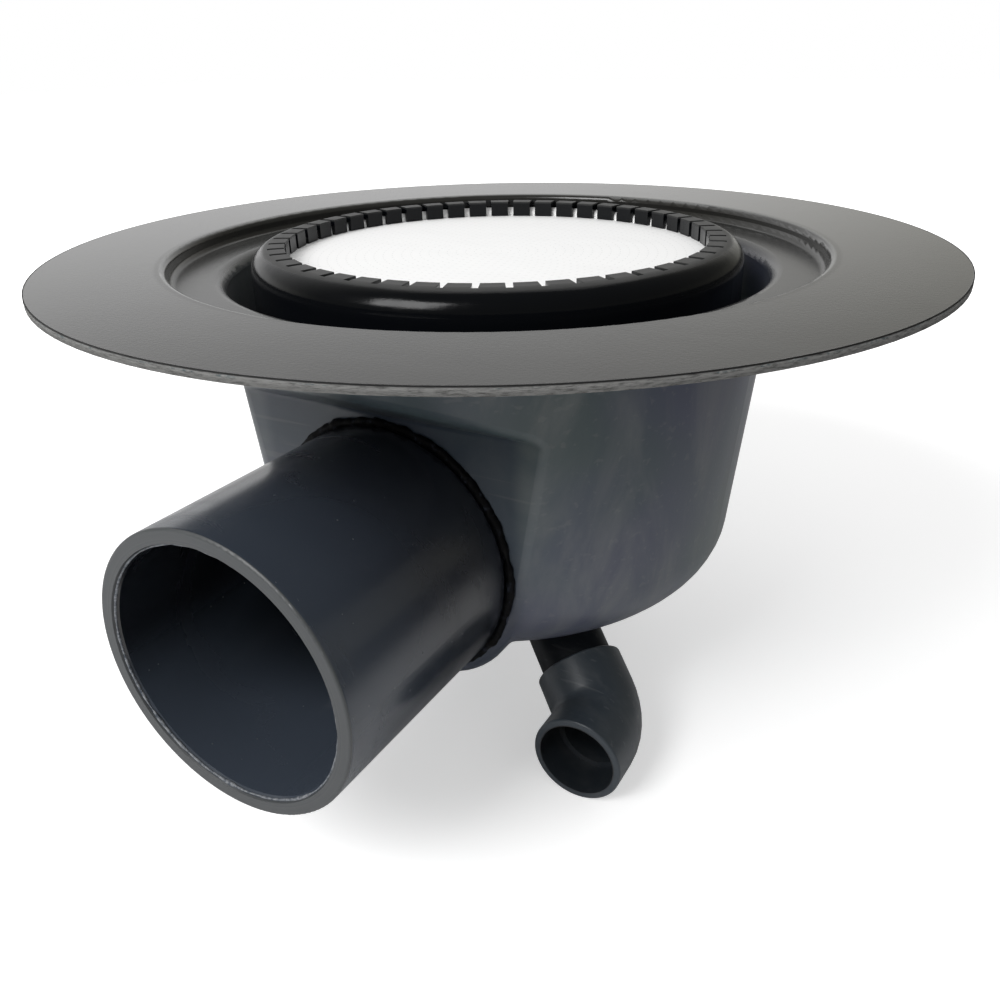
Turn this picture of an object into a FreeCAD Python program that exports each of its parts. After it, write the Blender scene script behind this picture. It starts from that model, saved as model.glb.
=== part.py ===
"""Pond bottom drain with an aerated dome: formed sump, glued outlet pipe, air line and disc diffuser.

Frame: millimetres, +Z up, origin at the centre of the flange at mid-thickness, outlet along -Y.
"""
import FreeCAD
import Part
import Sketcher

import math
import os
import re

doc = FreeCAD.newDocument("pond_bottom_drain")
V = FreeCAD.Vector
ON_SURFACE = 1e-3
SMOOTH_SEAM = math.radians(5)
HEX_SIDES = 6

# Driving dimensions, in millimetres, degrees or plain counts.
SIZES = {
    "wall": 3.0,
    "flange_radius": 190.0,
    "shelf_width": 22.1,
    "recess_depth": 5.9,
    "lip_round": 2.5,
    "shelf_round": 3.0,
    "throat_gap": 10.8,
    "throat_round": 5.0,
    "draft_angle": 5.7,
    "sump_depth": 149.5,
    "floor_round": 32.0,
    "trough_side": 0.5,
    "trough_start": 15.0,
    "trough_fall": 16.0,
    "trough_flat": 11.5,
    "trough_blend": 4.0,
    "pad_margin": 5.45,
    "pad_above": 4.3,
    "pad_corner_round": 3.0,
    "pad_edge_round": 6.0,
    "ledge_slope": 30.0,
    "outlet_radius": 55.0,
    "outlet_wall": 6.6,
    "outlet_floor": 0.4,
    "outlet_beyond": 0.9,
    "outlet_edge": 1.2,
    "bead_height": 2.4,
    "bead_length": 3.0,
    "glue_gap": 0.15,
    "glue_seat": 0.8,
    "shoulder_gap": 0.5,
    "air_radius": 16.0,
    "air_wall": 2.4,
    "rim_round": 1.0,
    "socket_wall": 3.05,
    "socket_clearance": 0.25,
    "socket_depth": 17.0,
    "elbow_angle": 58.7,
    "socket_floor": 10.0,
    "bend_radius": 22.0,
    "elbow_rise": 31.1,
    "air_run": 125.7,
    "ring_radius": 106.0,
    "ring_top": 4.7,
    "ring_height": 25.0,
    "ring_wall": 5.0,
    "ring_lip": 3.0,
    "ring_shoulder": 9.0,
    "lip_width": 14.7,
    "tooth_wall": 1.8,
    "tooth_height": 7.0,
    "notch_count": 50.0,
    "notch_width": 2.8,
    "notch_length": 7.0,
    "seat_gap": 0.2,
    "membrane_thickness": 2.2,
    "membrane_bead": 3.0,
    "base_plate": 4.0,
    "base_rim_wall": 4.0,
    "hub_radius": 24.0,
    "hub_height": 14.0,
    "stub_radius": 16.6,
    "stub_length": 17.0,
    "port_radius": 9.0,
    "rib_count": 12.0,
    "rib_width": 3.0,
    "rib_foot": 10.0,
    "gasket_thickness": 2.5,
    "adaptor_margin": 2.7,
    "adaptor_stop": 2.0,
    "seal_section": 0.8,
    "seal_gap": 0.05,
    "seal_rise": 9.0,
}

sheet = doc.addObject("Spreadsheet::Sheet", "Sizes")
for row, (alias, value) in enumerate(SIZES.items(), start=1):
    sheet.set(f"A{row}", alias)
    sheet.set(f"B{row}", repr(value))
    sheet.setAlias(f"B{row}", alias)
doc.recompute()

DRAFT = "tan(draft_angle * 1 deg)"
HALF_WALL = "(wall / 2)"
SHELF_BELOW = "(recess_depth + wall)"

# Sizes that follow from the driving ones. The depths are measured from the middle of the flange.
DERIVED = {
    "throat_radius": "(ring_radius + throat_gap)",
    "recess_radius": "(throat_radius + shelf_width)",
    "tooth_radius": "(ring_radius - lip_width)",
    "trough_depth": "(sump_depth + trough_fall)",
    "trough_half_width": "(outlet_radius + trough_side)",
    "trough_round": "(trough_half_width - trough_flat)",
    "outlet_drop": "(trough_depth - wall - outlet_floor - outlet_radius)",
    "outlet_reach": "(flange_radius + outlet_beyond)",
    "outlet_cone": f"(throat_radius + wall - (outlet_drop - {SHELF_BELOW}) * {DRAFT})",
    "pad_distance": "sqrt(outlet_cone ^ 2 - (outlet_radius + pad_margin) ^ 2)",
    "pad_top": "(outlet_drop - outlet_radius - pad_above)",
    "elbow_drop": "(sump_depth - elbow_rise)",
    "elbow_leg": "(socket_floor + socket_depth)",
    "adaptor_flats": "(2 * (air_radius + socket_clearance + socket_wall + adaptor_margin))",
}

CELL = re.compile(r"\b(" + "|".join(SIZES) + r")\b")
FOLLOWER = re.compile(r"\b(" + "|".join(DERIVED) + r")\b")


def cells(formula):
    """A formula in plain size names, rewritten to read the sheet's cells."""
    while FOLLOWER.search(formula):
        formula = FOLLOWER.sub(lambda name: DERIVED[name.group()], formula)
    return CELL.sub(r"Sizes.\1", formula)


def measure(formula):
    """The present value of a formula of size names."""
    return float(sheet.evalExpression(cells(formula)))


def bind(item, prop, formula):
    """Tie a property of a feature to a formula of sizes."""
    item.setExpression(prop, cells(formula))


def new_body(label):
    body = doc.addObject("PartDesign::Body", label)
    body.Label = label
    return body


def new_sketch(body, role):
    """A sketch on one of the body's own origin planes."""
    plane = next(item for item in body.Origin.OriginFeatures if item.Role == role)
    sketch = body.newObject("Sketcher::SketchObject", f"{body.Name}_sketch")
    sketch.AttachmentSupport = [(plane, "")]
    sketch.MapMode = "FlatFace"
    return sketch


def pin_point(sketch, curve, vertex, across, along):
    """Fix one point of a sketch curve at two formulas, measured from the origin."""
    for kind, formula in (("DistanceX", across), ("DistanceY", along)):
        index = sketch.addConstraint(Sketcher.Constraint(kind, -1, 1, curve, vertex, measure(formula)))
        bind(sketch, f"Constraints[{index}]", formula)


def draw_outline(sketch, corners):
    """A closed outline of straight lines through corners given as pairs of formulas."""
    spots = [V(measure(across), measure(along), 0) for across, along in corners]
    first = sketch.GeometryCount
    count = len(spots)
    for number, spot in enumerate(spots):
        sketch.addGeometry(Part.LineSegment(spot, spots[(number + 1) % count]))
    for number, (across, along) in enumerate(corners):
        following = first + (number + 1) % count
        sketch.addConstraint(Sketcher.Constraint("Coincident", first + number, 2, following, 1))
        pin_point(sketch, first + number, 1, across, along)


def draw_circle(sketch, across, along, radius):
    """A circle with its centre and radius given as formulas."""
    centre = V(measure(across), measure(along), 0)
    curve = sketch.addGeometry(Part.Circle(centre, V(0, 0, 1), measure(radius)))
    pin_point(sketch, curve, 3, across, along)
    index = sketch.addConstraint(Sketcher.Constraint("Radius", curve, measure(radius)))
    bind(sketch, f"Constraints[{index}]", radius)


def revolve(body, corners):
    """A full turn about the body's Z axis of an outline in its XZ plane."""
    sketch = new_sketch(body, "XZ_Plane")
    draw_outline(sketch, corners)
    turn = body.newObject("PartDesign::Revolution", f"{body.Name}_turn")
    turn.Profile = sketch
    turn.ReferenceAxis = (sketch, ["V_Axis"])
    turn.Angle = 360
    doc.recompute()
    return turn


def round_edges(body, radius, chosen):
    """Round the edges of the body's last feature that a test picks by their middle point."""
    base = body.Tip
    names = []
    for number, edge in enumerate(base.Shape.Edges, start=1):
        middle = edge.valueAt((edge.FirstParameter + edge.LastParameter) / 2)
        if chosen(edge, middle):
            names.append(f"Edge{number}")
    if not names:
        raise RuntimeError(f"{body.Label}: no edge to round")
    fillet = body.newObject("PartDesign::Fillet", f"{body.Name}_round")
    fillet.Base = (base, names)
    fillet.Radius = measure(radius)
    bind(fillet, "Radius", radius)
    doc.recompute()
    return fillet


def ring_edge(radius, height):
    """A test that picks the circle of a turned shape at a radius and a height."""
    want_radius = measure(radius)
    want_height = measure(height)

    def chosen(edge, middle):
        reach = math.hypot(middle.x, middle.y)
        level = abs(edge.BoundBox.ZLength) < ON_SURFACE
        return level and abs(reach - want_radius) < ON_SURFACE and abs(middle.z - want_height) < ON_SURFACE

    return chosen


def touches(shape, point):
    return shape.distToShape(Part.Vertex(point))[0] < ON_SURFACE


def pad_outline(shape, edge, middle, pad_y, rim_z):
    """Tells the soft outer border of the outlet pad from the smooth seams beside it."""
    if middle.y > pad_y + ON_SURFACE or middle.z > rim_z:
        return False
    normals = []
    for face in shape.ancestorsOfType(edge, Part.Face):
        across, along = face.Surface.parameter(middle)
        normals.append(face.normalAt(across, along))
    return len(normals) == 2 and normals[0].getAngle(normals[1]) > SMOOTH_SEAM


def make_trough(label, inset):
    """The half-round channel in the sump's floor that leads to the outlet."""
    body = new_body(label)
    sketch = new_sketch(body, "XY_Plane")
    bind(sketch, "AttachmentOffset.Base.z", "-outlet_drop")
    half = f"(trough_half_width - {inset})"
    front = "-(pad_distance + 2 * pad_edge_round)"
    left = V(-measure(half), -measure("trough_start"), 0)
    right = V(measure(half), left.y, 0)
    front_y = measure(front)
    centre = V(0, left.y, 0)
    end = sketch.addGeometry(Part.ArcOfCircle(Part.Circle(centre, V(0, 0, 1), right.x), 0, math.pi))
    lines = [(left, V(left.x, front_y, 0)), (V(left.x, front_y, 0), V(right.x, front_y, 0)),
             (V(right.x, front_y, 0), right)]
    sides = [sketch.addGeometry(Part.LineSegment(*line)) for line in lines]
    sketch.addConstraint(Sketcher.Constraint("Tangent", end, 2, sides[0], 1))
    sketch.addConstraint(Sketcher.Constraint("Tangent", sides[2], 2, end, 1))
    sketch.addConstraint(Sketcher.Constraint("Coincident", sides[0], 2, sides[1], 1))
    sketch.addConstraint(Sketcher.Constraint("Coincident", sides[1], 2, sides[2], 1))
    sketch.addConstraint(Sketcher.Constraint("Vertical", sides[0]))
    sketch.addConstraint(Sketcher.Constraint("Vertical", sides[2]))
    sketch.addConstraint(Sketcher.Constraint("Horizontal", sides[1]))
    pin_point(sketch, end, 3, "0", "-trough_start")
    index = sketch.addConstraint(Sketcher.Constraint("Radius", end, right.x))
    bind(sketch, f"Constraints[{index}]", half)
    index = sketch.addConstraint(Sketcher.Constraint("DistanceY", -1, 1, sides[1], 1, front_y))
    bind(sketch, f"Constraints[{index}]", front)
    pad = body.newObject("PartDesign::Pad", f"{label}_pad")
    pad.Profile = sketch
    pad.Reversed = True
    bind(pad, "Length", f"trough_depth - {inset} - outlet_drop")
    doc.recompute()
    floor = measure(f"-(trough_depth - {inset})")
    round_edges(body, f"trough_round - {inset}",
                lambda edge, middle: abs(middle.z - floor) < ON_SURFACE and middle.y > front_y + ON_SURFACE)
    return body


def make_form(label, corners, floor_radius, inset):
    """A solid of the sump: turned, with the trough, the flat outlet pad and soft edges."""
    body = new_body(label)
    revolve(body, corners)
    round_edges(body, f"floor_round - {inset}", ring_edge(floor_radius, f"-(sump_depth - {inset})"))
    turned = body.Tip.Shape.copy()
    trough = make_trough(f"{label}_trough", inset)
    join = body.newObject("PartDesign::Boolean", f"{label}_join")
    join.setObjects([trough])
    join.Type = "Fuse"
    doc.recompute()
    shells = [Part.Compound(turned.Faces), Part.Compound(trough.Shape.Faces)]
    sketch = new_sketch(body, "YZ_Plane")
    face = f"-(pad_distance - {inset})"
    ledge = f"-(pad_top - {inset})"
    reach = "(throat_radius + wall - pad_distance)"
    draw_outline(sketch, [
        (face, ledge),
        (face, "-(trough_depth + wall)"),
        (f"{face} - {reach}", "-(trough_depth + wall)"),
        (f"{face} - {reach}", f"{ledge} + {reach} * tan(ledge_slope * 1 deg)"),
    ])
    pocket = body.newObject("PartDesign::Pocket", f"{label}_pad_face")
    pocket.Profile = sketch
    pocket.Midplane = True
    bind(pocket, "Length", "2 * flange_radius")
    doc.recompute()
    round_edges(body, "trough_blend",
                lambda edge, middle: all(touches(shell, middle) for shell in shells))
    pad_y = measure(face)
    ledge_z = measure(ledge)
    round_edges(body, f"pad_corner_round + {inset}",
                lambda edge, middle: abs(middle.y - pad_y) + abs(middle.z - ledge_z) < ON_SURFACE)
    rim_z = measure(f"-{SHELF_BELOW}")
    round_edges(body, f"pad_edge_round - {inset}",
                lambda edge, middle: pad_outline(body.Tip.Shape, edge, middle, pad_y, rim_z))
    return body


WALL_FOOT = f"(throat_radius + wall - (sump_depth - {SHELF_BELOW}) * {DRAFT})"
CAVITY_FOOT = f"(throat_radius - (sump_depth - wall - {SHELF_BELOW}) * {DRAFT})"
CAVITY_TOP = f"(throat_radius + wall * {DRAFT})"

drain_body = make_form("drain_body", [
    ("0", HALF_WALL),
    ("flange_radius", HALF_WALL),
    ("flange_radius", f"-{HALF_WALL}"),
    ("recess_radius + wall", f"-{HALF_WALL}"),
    ("recess_radius + wall", f"-{SHELF_BELOW}"),
    ("throat_radius + wall", f"-{SHELF_BELOW}"),
    (WALL_FOOT, "-sump_depth"),
    ("0", "-sump_depth"),
], WALL_FOOT, "0")

drain_cavity = make_form("drain_cavity", [
    ("0", "wall"),
    ("recess_radius", "wall"),
    ("recess_radius", "-recess_depth"),
    (CAVITY_TOP, "-recess_depth"),
    (CAVITY_FOOT, "-(sump_depth - wall)"),
    ("0", "-(sump_depth - wall)"),
], CAVITY_FOOT, "wall")
hollow = drain_body.newObject("PartDesign::Boolean", "drain_hollow")
hollow.setObjects([drain_cavity])
hollow.Type = "Cut"
doc.recompute()
round_edges(drain_body, "lip_round", ring_edge("recess_radius", HALF_WALL))
round_edges(drain_body, "shelf_round", ring_edge("recess_radius", "-recess_depth"))
round_edges(drain_body, "throat_round", ring_edge(CAVITY_TOP, "-recess_depth"))
round_edges(drain_body, "shelf_round + wall", ring_edge("recess_radius + wall", f"-{SHELF_BELOW}"))
round_edges(drain_body, "throat_round - wall", ring_edge("throat_radius + wall", f"-{SHELF_BELOW}"))


def cut_hole(body, sketch, reversed_way):
    """A through hole along the sketch's normal, on one side of its plane only."""
    before = body.Shape.Volume
    hole = body.newObject("PartDesign::Pocket", f"{body.Name}_hole")
    hole.Profile = sketch
    hole.Type = "ThroughAll"
    hole.Reversed = reversed_way
    doc.recompute()
    if body.Shape.Volume > before - 1:
        raise RuntimeError(f"{body.Label}: a hole cut nothing")


OUTLET_SEAT = "(outlet_radius - glue_seat)"
outlet_hole = new_sketch(drain_body, "XZ_Plane")
draw_circle(outlet_hole, "0", "-outlet_drop", f"{OUTLET_SEAT} + glue_gap")
cut_hole(drain_body, outlet_hole, True)

# The run between the two like elbows slopes so that each elbow turns by the same angle.
turn = math.radians(measure("elbow_angle"))
run_direction = V(math.sqrt(1 - 2 * math.cos(turn) ** 2), -math.cos(turn), -math.cos(turn))
inner_bend = V(0, 0, -measure("elbow_drop"))
outer_bend = inner_bend + run_direction * measure("air_run")
along_run = FreeCAD.Rotation(V(0, 0, 1), run_direction)

air_hole = new_sketch(drain_body, "XY_Plane")
air_hole.AttachmentOffset = FreeCAD.Placement(inner_bend, along_run)
draw_circle(air_hole, "0", "0", "air_radius + glue_gap")
cut_hole(drain_body, air_hole, True)


def turned(label, corners):
    """A piece made by one full turn of its half section."""
    body = new_body(label)
    revolve(body, corners)
    return body


def face_outlet(body):
    """Lay a turned piece along the outlet's axis, its foot at the drain's own axis."""
    body.Placement.Rotation = FreeCAD.Rotation(V(0, 0, 1), V(0, -1, 0))
    bind(body, "Placement.Base.z", "-outlet_drop")


def repeat_round(body, feature, axis, count):
    """Copies of a feature, evenly round an axis."""
    pattern = body.newObject("PartDesign::PolarPattern", f"{body.Name}_round_copies")
    pattern.Originals = [feature]
    pattern.Axis = axis
    pattern.Angle = 360
    bind(pattern, "Occurrences", count)
    body.Tip = pattern
    doc.recompute()


# Outlet pipe: its seat is glued through the pad, with a bead of adhesive outside up to its shoulder.
OUTLET_BORE = "(outlet_radius - outlet_wall)"
OUTLET_SHOULDER = "(pad_distance + bead_length + shoulder_gap)"
outlet_pipe = turned("outlet_pipe", [
    (OUTLET_BORE, "pad_distance - wall"),
    (OUTLET_SEAT, "pad_distance - wall"),
    (OUTLET_SEAT, OUTLET_SHOULDER),
    ("outlet_radius", OUTLET_SHOULDER),
    ("outlet_radius", "outlet_reach"),
    (f"{OUTLET_BORE} + outlet_edge", "outlet_reach"),
    (OUTLET_BORE, "outlet_reach - 2 * outlet_edge"),
])
round_edges(outlet_pipe, "outlet_edge", ring_edge("outlet_radius", "outlet_reach"))
face_outlet(outlet_pipe)
outlet_weld = turned("outlet_weld", [
    (f"{OUTLET_SEAT} + glue_gap", "pad_distance"),
    ("outlet_radius + bead_height", "pad_distance"),
    ("outlet_radius + bead_height / 2", "pad_distance + bead_length / 3"),
    (f"{OUTLET_SEAT} + glue_gap", "pad_distance + bead_length"),
])
face_outlet(outlet_weld)

# Air line: a straight pipe glued into two elbows.
AIR_BORE = "(air_radius - air_wall)"
SOCKET_BORE = "(air_radius + socket_clearance)"
SOCKET_OUTER = f"({SOCKET_BORE} + socket_wall)"
BEND_START = "(bend_radius * tan(elbow_angle / 2 * 1 deg))"
air_pipe = turned("air_pipe", [
    (AIR_BORE, "socket_floor"),
    ("air_radius", "socket_floor"),
    ("air_radius", "air_run - socket_floor"),
    (AIR_BORE, "air_run - socket_floor"),
])
air_pipe.Placement = FreeCAD.Placement(inner_bend, along_run)


def elbow_rod(name, radius, start, end, turned_leg):
    """A round bar along one leg of an elbow, from one distance to another from its bend."""
    rod = doc.addObject("Part::Cylinder", name)
    bind(rod, "Radius", radius)
    bind(rod, "Height", f"{end} - {start}")
    if turned_leg:
        rod.Placement.Rotation = FreeCAD.Rotation(V(0, 1, 0), 180 - measure("elbow_angle"))
        bind(rod, "Placement.Base.x", f"{start} * sin(elbow_angle * 1 deg)")
        bind(rod, "Placement.Base.z", f"-{start} * cos(elbow_angle * 1 deg)")
    else:
        bind(rod, "Placement.Base.z", start)
    return rod


def elbow_ball(name, radius):
    ball = doc.addObject("Part::Sphere", name)
    bind(ball, "Radius", radius)
    return ball


def elbow_bow(name, radius):
    """A bent round bar that runs smoothly from one leg of an elbow into the other."""
    bow = doc.addObject("Part::Torus", name)
    bind(bow, "Radius1", "bend_radius")
    bind(bow, "Radius2", radius)
    bind(bow, "Angle3", "elbow_angle")
    bow.Placement.Rotation = FreeCAD.Rotation(V(-1, 0, 0), V(0, 0, -1), V(0, -1, 0))
    bind(bow, "Placement.Base.x", "bend_radius")
    bind(bow, "Placement.Base.z", BEND_START)
    return bow


def fuse(name, pieces):
    whole = doc.addObject("Part::MultiFuse", name)
    whole.Shapes = pieces
    whole.Refine = True
    return whole


def make_elbow(label, bend, first_leg, second_leg):
    """A socket elbow whose legs leave its bend along two directions."""
    outside = [elbow_bow(f"{label}_bow", SOCKET_OUTER)]
    inside = [elbow_ball(f"{label}_way", AIR_BORE)]
    for number in (0, 1):
        outside.append(elbow_rod(f"{label}_leg{number}", SOCKET_OUTER, BEND_START, "elbow_leg", number))
        inside.append(elbow_rod(f"{label}_bore{number}", AIR_BORE, "0", "elbow_leg", number))
        inside.append(elbow_rod(f"{label}_socket{number}", SOCKET_BORE, "socket_floor", "elbow_leg", number))
    shell = doc.addObject("Part::Cut", f"{label}_shell")
    shell.Base = fuse(f"{label}_outside", outside)
    shell.Tool = fuse(f"{label}_inside", inside)
    doc.recompute()
    rims = []
    for number, edge in enumerate(shell.Shape.Edges, start=1):
        if not isinstance(edge.Curve, Part.Circle):
            continue
        outer = abs(edge.Curve.Radius - measure(SOCKET_OUTER)) < ON_SURFACE
        if outer and edge.Curve.Center.Length > measure("elbow_leg") - ON_SURFACE:
            rims.append((number, measure("rim_round"), measure("rim_round")))
    elbow = doc.addObject("Part::Fillet", label)
    elbow.Label = label
    elbow.Base = shell
    elbow.Edges = rims
    aside = (second_leg + first_leg * math.cos(turn)) * (1 / math.sin(turn))
    frame = FreeCAD.Rotation(aside, first_leg.cross(aside), first_leg, "ZXY")
    elbow.Placement = FreeCAD.Placement(bend, frame)
    doc.recompute()
    return elbow


air_elbow_inner = make_elbow("air_elbow_inner", inner_bend, V(0, 0, 1), run_direction)
air_elbow_outer = make_elbow("air_elbow_outer", outer_bend, -run_direction, V(0, -1, 0))

# Levels of the dome, from the ring's top down to the foot of its riser.
TOOTH_FOOT = "(ring_top - tooth_height)"
MEMBRANE_TOP = f"({TOOTH_FOOT} - seat_gap)"
PLATE_TOP = f"({MEMBRANE_TOP} - membrane_thickness)"
PLATE_BELOW = f"({PLATE_TOP} - base_plate)"
HUB_FOOT = f"({PLATE_BELOW} - hub_height)"
STUB_FOOT = f"({HUB_FOOT} - stub_length)"
RING_FOOT = "(ring_top - ring_height)"
ADAPTOR_TOP = f"({HUB_FOOT} - gasket_thickness)"
THREAD_FOOT = f"({STUB_FOOT} - seat_gap)"
RISER_TOP = f"({THREAD_FOOT} - adaptor_stop)"
ADAPTOR_FOOT = f"({RISER_TOP} - socket_depth)"
RISER_FOOT = "(-(elbow_drop - socket_floor))"

# Riser of the dome, pushed into the inner elbow and sealed by a ring in its groove.
SEAL_TOP = f"({RISER_FOOT} + seal_rise + seal_section + seal_gap)"
SEAL_FOOT = f"({RISER_FOOT} + seal_rise - seal_section - seal_gap)"
SEAL_CENTRE = f"({SOCKET_BORE} - seal_gap - seal_section)"
GROOVE_RADIUS = f"({SEAL_CENTRE} - seal_section - seal_gap)"
riser_pipe = turned("riser_pipe", [
    (AIR_BORE, RISER_FOOT),
    ("air_radius", RISER_FOOT),
    ("air_radius", SEAL_FOOT),
    (GROOVE_RADIUS, SEAL_FOOT),
    (GROOVE_RADIUS, SEAL_TOP),
    ("air_radius", SEAL_TOP),
    ("air_radius", RISER_TOP),
    (AIR_BORE, RISER_TOP),
])
riser_seal = doc.addObject("Part::Torus", "riser_seal")
riser_seal.Label = "riser_seal"
bind(riser_seal, "Radius1", SEAL_CENTRE)
bind(riser_seal, "Radius2", "seal_section")
bind(riser_seal, "Placement.Base.z", f"{RISER_FOOT} + seal_rise")

# Adaptor from the riser's socket to the diffuser's thread, with flats for a spanner.
ADAPTOR_CORNER = f"(adaptor_flats / 2 / cos(180 deg / {HEX_SIDES}))"
riser_adaptor = turned("riser_adaptor", [
    ("stub_radius + seat_gap", ADAPTOR_TOP),
    (ADAPTOR_CORNER, ADAPTOR_TOP),
    (ADAPTOR_CORNER, RISER_TOP),
    (SOCKET_OUTER, RISER_TOP),
    (SOCKET_OUTER, ADAPTOR_FOOT),
    ("air_radius + glue_gap", ADAPTOR_FOOT),
    ("air_radius + glue_gap", RISER_TOP),
    (AIR_BORE, RISER_TOP),
    (AIR_BORE, THREAD_FOOT),
    ("stub_radius + seat_gap", THREAD_FOOT),
])
flat_sketch = new_sketch(riser_adaptor, "XY_Plane")
draw_outline(flat_sketch, [
    ("adaptor_flats / 2", "-adaptor_flats / 2"),
    ("adaptor_flats", "-adaptor_flats / 2"),
    ("adaptor_flats", "adaptor_flats / 2"),
    ("adaptor_flats / 2", "adaptor_flats / 2"),
])
flat = riser_adaptor.newObject("PartDesign::Pocket", "adaptor_flat")
flat.Profile = flat_sketch
flat.Type = "ThroughAll"
flat.Midplane = True
doc.recompute()
repeat_round(riser_adaptor, flat, (flat_sketch, ["N_Axis"]), str(HEX_SIDES))

thread_gasket = turned("thread_gasket", [
    ("stub_radius + seat_gap", ADAPTOR_TOP),
    ("adaptor_flats / 2", ADAPTOR_TOP),
    ("adaptor_flats / 2", HUB_FOOT),
    ("stub_radius + seat_gap", HUB_FOOT),
])

# Diffuser base: a plate with a threaded rim, a hub with a hollow stub and ribs below.
BASE_RADIUS = "(ring_radius - ring_wall - seat_gap)"
RIM_INSIDE = f"({BASE_RADIUS} - base_rim_wall)"
diffuser_base = turned("diffuser_base", [
    ("port_radius", PLATE_TOP),
    (BASE_RADIUS, PLATE_TOP),
    (BASE_RADIUS, RING_FOOT),
    (RIM_INSIDE, RING_FOOT),
    (RIM_INSIDE, PLATE_BELOW),
    ("hub_radius", PLATE_BELOW),
    ("hub_radius", HUB_FOOT),
    ("stub_radius", HUB_FOOT),
    ("stub_radius", STUB_FOOT),
    ("port_radius", STUB_FOOT),
])
rib_sketch = new_sketch(diffuser_base, "XZ_Plane")
draw_outline(rib_sketch, [
    ("(hub_radius + stub_radius) / 2", f"{PLATE_BELOW} + base_plate / 2"),
    (f"{RIM_INSIDE} + base_rim_wall / 2", f"{PLATE_BELOW} + base_plate / 2"),
    (f"{RIM_INSIDE} + base_rim_wall / 2", f"{PLATE_BELOW} - rib_foot / 2"),
    ("(hub_radius + stub_radius) / 2", f"{PLATE_BELOW} - rib_foot"),
])
rib = diffuser_base.newObject("PartDesign::Pad", "base_rib")
rib.Profile = rib_sketch
rib.Midplane = True
bind(rib, "Length", "rib_width")
doc.recompute()
repeat_round(diffuser_base, rib, (rib_sketch, ["V_Axis"]), "rib_count")

# Membrane: a thin disc with a round bead at its edge.
BEAD_CENTRE = "(tooth_radius + tooth_wall + seat_gap + membrane_bead)"
membrane = turned("membrane", [
    ("0", PLATE_TOP),
    (BEAD_CENTRE, PLATE_TOP),
    (BEAD_CENTRE, MEMBRANE_TOP),
    ("0", MEMBRANE_TOP),
])
bead_sketch = new_sketch(membrane, "XZ_Plane")
draw_circle(bead_sketch, BEAD_CENTRE, f"{PLATE_TOP} + membrane_bead", "membrane_bead")
edge_bead = membrane.newObject("PartDesign::Revolution", "membrane_edge")
edge_bead.Profile = bead_sketch
edge_bead.ReferenceAxis = (bead_sketch, ["V_Axis"])
edge_bead.Angle = 360
doc.recompute()

# Retaining ring: screwed over the base's rim, its lip holding the membrane's bead behind a row of teeth.
LIP_BELOW = "(ring_top - ring_lip)"
retaining_ring = turned("retaining_ring", [
    ("tooth_radius", TOOTH_FOOT),
    ("tooth_radius", "ring_top"),
    ("ring_radius", "ring_top"),
    ("ring_radius", RING_FOOT),
    ("ring_radius - ring_wall", RING_FOOT),
    ("ring_radius - ring_wall", LIP_BELOW),
    ("tooth_radius + tooth_wall", LIP_BELOW),
    ("tooth_radius + tooth_wall", TOOTH_FOOT),
])
round_edges(retaining_ring, "ring_shoulder", ring_edge("ring_radius", "ring_top"))
notch_sketch = new_sketch(retaining_ring, "XY_Plane")
draw_outline(notch_sketch, [
    ("tooth_radius - tooth_wall", "-notch_width / 2"),
    ("tooth_radius + notch_length", "-notch_width / 2"),
    ("tooth_radius + notch_length", "notch_width / 2"),
    ("tooth_radius - tooth_wall", "notch_width / 2"),
])
notch = retaining_ring.newObject("PartDesign::Pocket", "ring_notch")
notch.Profile = notch_sketch
notch.Type = "ThroughAll"
notch.Midplane = True
doc.recompute()
repeat_round(retaining_ring, notch, (notch_sketch, ["N_Axis"]), "notch_count")

PIECES = [
    drain_body, outlet_pipe, outlet_weld, air_pipe, air_elbow_inner, air_elbow_outer,
    riser_pipe, riser_seal, riser_adaptor, thread_gasket, diffuser_base, membrane, retaining_ring,
]

doc.recompute()
for item in doc.Objects:
    if "Invalid" in item.State or "Error" in item.State:
        raise RuntimeError(f"{item.Name}: {item.State}")
os.makedirs("parts", exist_ok=True)
for piece in PIECES:
    shape = piece.Shape
    if shape.isNull() or not shape.isValid() or len(shape.Solids) != 1:
        raise RuntimeError(f"{piece.Label}: not one sound solid")
    shape.exportStep(f"parts/{piece.Label}.step")
    print(f"{piece.Label}: {shape.Volume / 1000:.1f} cm3")
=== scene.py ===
"""Looks of a pond bottom drain: formed sump, glued outlet pipe, air line and aerated dome.

Metres, in the part's own frame: +Z up, origin at the centre of the flange at its mid-thickness,
outlet along -Y.
"""
import math

import bpy
from bpy.props import FloatProperty, FloatVectorProperty, IntProperty, PointerProperty
from mathutils import Matrix, Vector


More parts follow.
